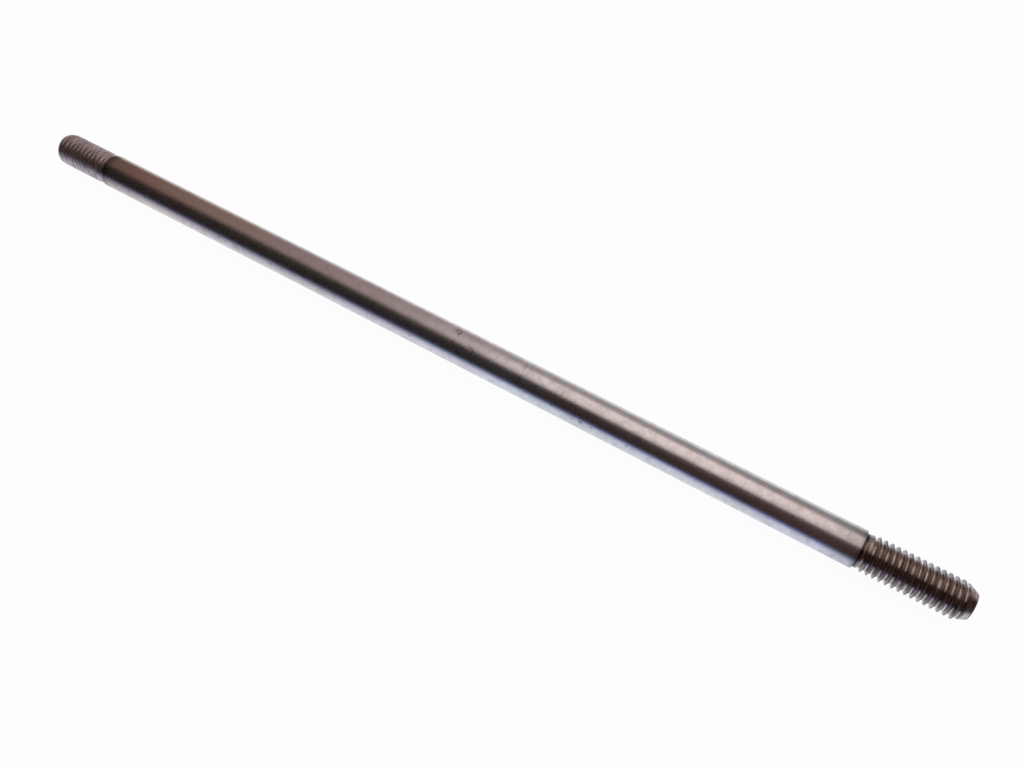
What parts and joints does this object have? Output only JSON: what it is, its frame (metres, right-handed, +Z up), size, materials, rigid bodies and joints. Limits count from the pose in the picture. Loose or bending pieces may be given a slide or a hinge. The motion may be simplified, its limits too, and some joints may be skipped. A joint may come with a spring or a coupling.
{
  "type": "stud bolt",
  "caption": "Long double-ended stud bolt: a plain steel shank with a longer threaded tap end and a shorter threaded nut end.",
  "frame": {"origin": "on the stud's axis, at the shoulder where the shank ends and the tap end begins", "axes": "+X along the axis out of the tap end, +Z up from the surface that the stud lies on, +Y across"},
  "size_m": [0.232, 0.008, 0.008],
  "materials": {
    "ground_steel": "centreless-ground bare steel, lightly oxidised to a warm grey-brown"
  },
  "bodies": {
    "root": {"stud": "ground_steel"}
  },
  "joints": []
}
